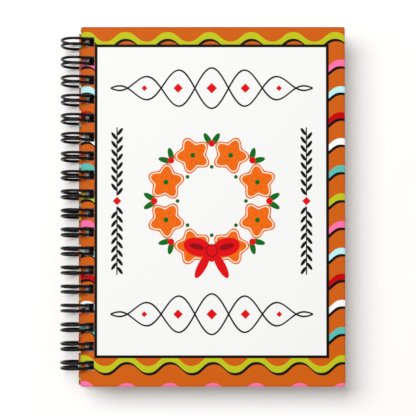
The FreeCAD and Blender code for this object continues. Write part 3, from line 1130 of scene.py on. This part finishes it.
def cut_sheet(low, high, corner_radius, rim, margin=HOLE_MARGIN):
    """A sheet that fills a box: rounded corners, a row of holes along its spine edge, and pressed rims."""
    mesh = bmesh.new()
    place = Matrix.Translation(((low.x + high.x) / 2, (low.y + high.y) / 2, low.z))
    size = Matrix.Diagonal((high.x - low.x, high.y - low.y, 1, 1))
    bmesh.ops.create_grid(mesh, x_segments=1, y_segments=1, size=0.5, matrix=place @ size)
    round_off(mesh, mesh.verts[:], corner_radius, "VERTICES", CORNER_STEPS)
    hole_x = low.x + margin + HOLE_WIDTH / 2
    for edge_x in (hole_x - HOLE_WIDTH / 2, hole_x + HOLE_WIDTH / 2):
        slice_faces(mesh, (edge_x, 0, 0), (1, 0, 0))
    for row in hole_rows:
        for edge_y in (row - HOLE_HEIGHT / 2, row + HOLE_HEIGHT / 2):
            slice_faces(mesh, (0, edge_y, 0), (0, 1, 0))
    waste = []
    for face in mesh.faces:
        centre = face.calc_center_median()
        in_row = any(abs(centre.y - row) < HOLE_HEIGHT / 2 for row in hole_rows)
        if in_row and abs(centre.x - hole_x) < HOLE_WIDTH / 2:
            waste.append(face)
    bmesh.ops.delete(mesh, geom=waste, context="FACES")
    thicken(mesh, high.z - low.z, rim)
    return mesh


print("sheet helper: cut_sheet, with", LOOP_COUNT, "holes")

# %% [markdown]
# ### Covers
#
# Each cover is three sheets that are glued and cut in one go: print, board and liner. One thick sheet
# with a painted edge would look much the same from afar, but the white core shows in the holes, and each
# layer is a piece of its own in the CAD model. So each is cut by the helper from its own box. The back
# cover reaches a little further past its holes than the front one.

# %% Covers
COVER_CORNER = 1.0 * MM
BACK_OVERHANG = 0.4 * MM
COVER_RIM = {"print": 0.06 * MM, "board": 0.02 * MM, "liner": 0.04 * MM}
COVER_FACES = {
    "front_cover_print": FRONT_PRINT,
    "front_cover_board": BOARD,
    "front_cover_liner": FRONT_LINER,
    "back_cover_print": BACK_PRINT,
    "back_cover_board": BOARD,
    "back_cover_liner": BACK_LINER,
}

for node, finish in COVER_FACES.items():
    layer = node.split("_")[-1]
    margin = HOLE_MARGIN + (BACK_OVERHANG if node.startswith("back") else 0.0)
    mesh = cut_sheet(*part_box(node), COVER_CORNER, COVER_RIM[layer], margin)
    make_piece(f"{node}_sheet", mesh, node, [finish, BOARD if layer == "board" else CUT_PAPER])

# %% [markdown]
# ### Leaves
#
# The leaves are cut with the same die, so their holes line up, but they are smaller than the covers and
# have rounder corners, so that they don't catch when they are turned. The helper takes each leaf's box,
# and nothing else is new.

# %% Leaves
LEAVES = range(1, 6)
PAGE_CORNER = 3.0 * MM
PAGE_RIM = 0.04 * MM

for leaf in LEAVES:
    mesh = cut_sheet(*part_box(f"page_{leaf}"), PAGE_CORNER, PAGE_RIM)
    make_piece(f"leaf_{leaf}_card", mesh, f"page_{leaf}", [leaf_card(leaf), CUT_PAPER])

# %% [markdown]
# ## Pockets
#
# A pocket's face is a panel with a round notch for the thumb. Its outline is a few corner points, and the
# notch is spun: one vertex turned half round a point leaves an arc of edges behind it. The closed outline
# is filled and thickened like the other sheets. A boolean with a cylinder would do as well, and leave odd
# triangles.

# %% Pocket panels
PANEL_CORNER = 2.0 * MM
THUMB_RADIUS = 9.0 * MM
THUMB_STEPS = 32


def cut_panel(low, high):
    """A panel with rounded corners and a half-round notch in the middle of its upper edge."""
    mesh = bmesh.new()
    middle_x = (low.x + high.x) / 2
    start = mesh.verts.new((middle_x + THUMB_RADIUS, high.y, low.z))
    bmesh.ops.spin(
        mesh,
        geom=[start],
        cent=(middle_x, high.y, low.z),
        axis=(0, 0, -1),
        angle=math.pi,
        steps=THUMB_STEPS,
    )
    end = min(mesh.verts, key=lambda vert: vert.co.x)
    corners = [(low.x, high.y), (low.x, low.y), (high.x, low.y), (high.x, high.y)]
    corners = [mesh.verts.new((x, y, low.z)) for x, y in corners]
    chain = [end, *corners, start]
    for here, there in zip(chain, chain[1:]):
        mesh.edges.new((here, there))
    bmesh.ops.edgeloop_fill(mesh, edges=mesh.edges[:])
    round_off(mesh, corners, PANEL_CORNER, "VERTICES", CORNER_STEPS)
    thicken(mesh, high.z - low.z, PAGE_RIM)
    return mesh


for leaf in LEAVES:
    node = f"pocket_panel_{leaf}"
    make_piece(f"pocket_{leaf}_face", cut_panel(*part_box(node)), node, [kraft_card(leaf), KRAFT_EDGE])

# %% [markdown]
# ### Tape
#
# Three strips of foam tape hold a pocket off its leaf, along both sides and the foot. They are squeezed, so
# their sides draw in between the two sheets of card. A plain block would look hard. Here the upright edges
# of a block are cut a few times, and the new points move inwards, most of all half way up. Foam tape is
# soft, and the piece keeps its full thickness.

# %% Foam tape
TAPE_WIDTH = 5.0 * MM
TAPE_GAP = 0.4 * MM
TAPE_WAIST = 0.14 * MM
WAIST_CUTS = 3


def add_strip(mesh, low, high):
    """One strip of tape in a box, with its sides drawn in half way up."""
    middle = (low + high) / 2
    size = high - low
    matrix = Matrix.Translation(middle) @ Matrix.Diagonal((*size, 1))
    verts = bmesh.ops.create_cube(mesh, size=1, matrix=matrix)["verts"]
    edges = once(edge for vert in verts for edge in vert.link_edges)
    upright = [edge for edge in edges if abs(edge.verts[0].co.z - edge.verts[1].co.z) > size.z / 2]
    cut = bmesh.ops.subdivide_edges(mesh, edges=upright, cuts=WAIST_CUTS, use_grid_fill=True)
    for vert in once(vertices(cut["geom"])):
        level = 2 * (vert.co.z - middle.z) / size.z
        draw = TAPE_WAIST * (1 - level**2)
        vert.co.x -= math.copysign(draw, vert.co.x - middle.x)
        vert.co.y -= math.copysign(draw, vert.co.y - middle.y)


for leaf in LEAVES:
    node = f"pocket_tape_{leaf}"
    low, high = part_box(node)
    strips = bmesh.new()
    add_strip(strips, low, Vector((low.x + TAPE_WIDTH, high.y, high.z)))
    add_strip(strips, Vector((high.x - TAPE_WIDTH, low.y, low.z)), high)
    foot_inset = TAPE_WIDTH + TAPE_GAP
    foot_low = Vector((low.x + foot_inset, low.y, low.z))
    add_strip(strips, foot_low, Vector((high.x - foot_inset, low.y + TAPE_WIDTH, high.z)))
    tape = make_piece(f"pocket_{leaf}_tape", strips, node, [FOAM_TAPE])

# %% [markdown]
# ## Twin-loop wire
#
# The binding is one wire, bent into long fingers that are curled into loops, so that a pair of loops goes
# through each hole. When the loops are closed, the tips of the fingers lie beside their roots, with a
# small gap at the seam. The loops' radius and axis come from the CAD box, and the gap gives the angles of
# the tips and the roots.

# %% Measures of the wire
WIRE_DIAMETER = 1.25 * MM
PAIR_SPACING = 2.45 * MM
SEAM_ANGLE = math.radians(15)
SEAM_GAP = 0.5 * MM
WIRE_SIDES = 18
LOOP_STEPS = 60
TIP_STEPS = 14
BEND_STEPS = 7

wire_low, wire_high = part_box("binding_wire")
loop_radius = (wire_high.x - wire_low.x - WIRE_DIAMETER) / 2
axis_point = Vector(((wire_low.x + wire_high.x) / 2, 0, (wire_low.z + wire_high.z) / 2))
bend = PAIR_SPACING / 2
reach = ((SEAM_GAP + WIRE_DIAMETER) / 2 + bend) / loop_radius
seam = SEAM_ANGLE - math.pi / 2
tip = seam + reach
root = seam - reach + math.tau


def outward(angle):
    """The direction from the loops' axis at an angle, counted from the fore-edge side upwards."""
    return Vector((math.cos(angle), 0, math.sin(angle)))


def on_loop(angle, y):
    """A point on the middle of the wire."""
    return axis_point + outward(angle) * loop_radius + Vector((0, y, 0))


ends = [round(math.degrees(angle)) for angle in (root, tip)]
print(f"loops: {2 * loop_radius / MM:.2f} mm across, from {ends[0]} to {ends[1]} degrees")

# %% [markdown]
# ### Bending
#
# One finger is spun as a machine would bend it: a ring of vertices is turned round the loop's axis, then
# round the tip, back round the axis, and round two small bends to the next finger. The finger is then
# copied down the spine, and the rings that meet are welded. Only the last finger has no run to a next
# one, so it is bent first and the others are copies. A curve with a round profile would be quicker, but
# its tight bends pinch, and the welded rings leave one closed tube.

# %% Bend the wire
RINGS_MEET = 0.01 * MM


def turn_wire(mesh, end, centre, axis, angle, steps):
    """Spin the wire on from its end, and return the new end."""
    return bmesh.ops.spin(mesh, geom=end, cent=centre, axis=axis, angle=angle, steps=steps)["geom_last"]


def bend_finger(mesh, y, linked):
    """One pair of loops, and the run to the next pair if it is linked."""
    turn = Matrix.Rotation(-root, 4, "Y")
    matrix = Matrix.Translation(on_loop(root, y + bend)) @ turn
    circle = {"segments": WIRE_SIDES, "radius": WIRE_DIAMETER / 2, "matrix": matrix}
    ring = bmesh.ops.create_circle(mesh, **circle)["verts"]
    end = ring + once(edge for vert in ring for edge in vert.link_edges)
    end = turn_wire(mesh, end, axis_point, (0, 1, 0), root - tip, LOOP_STEPS)
    end = turn_wire(mesh, end, on_loop(tip, y), -outward(tip), math.pi, TIP_STEPS)
    end = turn_wire(mesh, end, axis_point, (0, 1, 0), tip - root, LOOP_STEPS)
    if not linked:
        return
    corner = on_loop(root, y - PAIR_SPACING)
    next_corner = corner + Vector((0, 2 * PAIR_SPACING - LOOP_PITCH, 0))
    end = turn_wire(mesh, end, corner, outward(root), math.pi / 2, BEND_STEPS)
    edges = [item for item in end if isinstance(item, bmesh.types.BMEdge)]
    run = bmesh.ops.extrude_edge_only(mesh, edges=edges)["geom"]
    verts = vertices(run)
    bmesh.ops.translate(mesh, verts=verts, vec=next_corner - corner)
    edges = [item for item in run if isinstance(item, bmesh.types.BMEdge)]
    end = verts + [edge for edge in edges if all(vert in verts for vert in edge.verts)]
    turn_wire(mesh, end, next_corner, outward(root), math.pi / 2, BEND_STEPS)


wire = bmesh.new()
bend_finger(wire, hole_rows[-1], linked=False)
others = set(wire.verts)
bend_finger(wire, hole_rows[0], linked=True)
finger = [vert for vert in wire.verts if vert not in others]
finger += once(face for vert in finger for face in vert.link_faces)
for row in hole_rows[1:-1]:
    copy = bmesh.ops.duplicate(wire, geom=finger)["geom"]
    bmesh.ops.translate(wire, verts=vertices(copy), vec=(0, row - hole_rows[0], 0))
bmesh.ops.remove_doubles(wire, verts=wire.verts, dist=RINGS_MEET)
cut_ends = [edge for edge in wire.edges if edge.is_boundary]
bmesh.ops.holes_fill(wire, edges=cut_ends, sides=WIRE_SIDES)
print(f"wire: {LOOP_COUNT} pairs of loops, {len(cut_ends)} edges closed at its ends")

# %% [markdown]
# ### Bowed loops
#
# Closing the loops bows them a little: round the spine their upper halves lean to the head and their
# lower ones to the tail. The last three pairs lean the other way. Bending each pair by itself would lose
# the copies, so the finished wire is moved instead, by one wave of a sine along each loop, with no shift
# where it passes the covers' holes.

# %% Bow the loops
WIRE_BOW = 0.28 * MM
BOW_FROM = math.radians(56)
TURNED_PAIRS = 3

turned_y = hole_rows[-TURNED_PAIRS] + LOOP_PITCH / 2
for vert in wire.verts:
    arm = vert.co - axis_point
    share = (math.atan2(arm.z, arm.x) % math.tau - BOW_FROM) / (math.tau - 2 * BOW_FROM)
    bow = WIRE_BOW if vert.co.y > turned_y else -WIRE_BOW
    vert.co.y += bow * math.sin(math.tau * min(max(share, 0.0), 1.0))
make_piece("twin_loop_wire", wire, "binding_wire", [WIRE], smooth=True)

# %% [markdown]
# ## The sky
#
# The book lies in a white room. The sky that lights it is dimmer than white, and only the camera and
# reflections see it white, so that no more light falls on the book. Brighter lamps would whiten the room
# as well, but the paper would lose its tone.

# %% Sky
SKY_STRENGTH = 0.3
PURE_WHITE = (1.0, 1.0, 1.0, 1.0)


def seen_rays(tree):
    """1 for what the camera sees, straight or in a reflection, and 0 for light that falls on things."""
    rays = tree.nodes.new("ShaderNodeLightPath").outputs
    return Field(tree, rays["Is Camera Ray"]).most(rays["Is Glossy Ray"]).most(rays["Is Transmission Ray"])


world = bpy.data.worlds.new("even sky")
world.use_nodes = True
sky = world.node_tree.nodes["Background"].inputs
sky["Color"].default_value = PURE_WHITE
feed(world.node_tree, spread(seen_rays(world.node_tree), 0.0, 1.0, SKY_STRENGTH, 1.0), sky["Strength"])
bpy.context.scene.world = world
print(f"sky: lights with {SKY_STRENGTH}")

# %% [markdown]
# ## The table
#
# The table takes the shadow as white paint does, and to the camera it also shines a little by itself: by a
# fifth near the book, and by more farther off, where less of the panel's light arrives. Near the book the
# glow is tinted warm: a painted warm light that stands in for light thrown back from the print. Under the
# book the glow is left out, as painted shade, so the holes stay dark.

# %% Table
FLOOR_SIDE = 40.0
FLOOR_WHITE = 0.8
FLOOR_GLOW_REACH = (0.3, 3.0)
FLOOR_GLOW_FAR = 0.74
# The warm tint is painted bounce light from the print.
WARM_BOUNCE_GLOW = (1.0, 0.93, 0.88, 1.0)
WARM_BOUNCE_REACH = (0.14, 0.4)
GLOW_EDGE = (-1.0, 0.0)

floor_mesh = bmesh.new()
bmesh.ops.create_grid(floor_mesh, x_segments=1, y_segments=1, size=FLOOR_SIDE / 2)
floor_data = bpy.data.meshes.new("floor")
floor_mesh.to_mesh(floor_data)
floor_mesh.free()
floor = bpy.data.objects.new("floor", floor_data)
bpy.context.scene.collection.objects.link(floor)

paint, tree, sockets = new_material("white table", Roughness=1.0, Specular_IOR_Level=0.0)
sockets["Base Color"].default_value = (FLOOR_WHITE, FLOOR_WHITE, FLOOR_WHITE, 1)
x, y = sheet_place(tree)[:2]
away = (x * x + y * y).root() * MM
glow = spread(away, *FLOOR_GLOW_REACH, 1 - FLOOR_WHITE, FLOOR_GLOW_FAR)
# Painted shade: the glow is left out under the book.
beside = spread(rectangle(x, y, cover_low / MM, cover_high / MM), *GLOW_EDGE)
feed(tree, seen_rays(tree) * glow * beside, sockets["Emission Strength"])
# Painted warm bounce light: near the book the glow turns warm.
feed(tree, over(WARM_BOUNCE_GLOW, PURE_WHITE, spread(away, *WARM_BOUNCE_REACH)), sockets["Emission Color"])
floor_data.materials.append(paint)
print(f"floor: {FLOOR_SIDE:.0f} m wide")
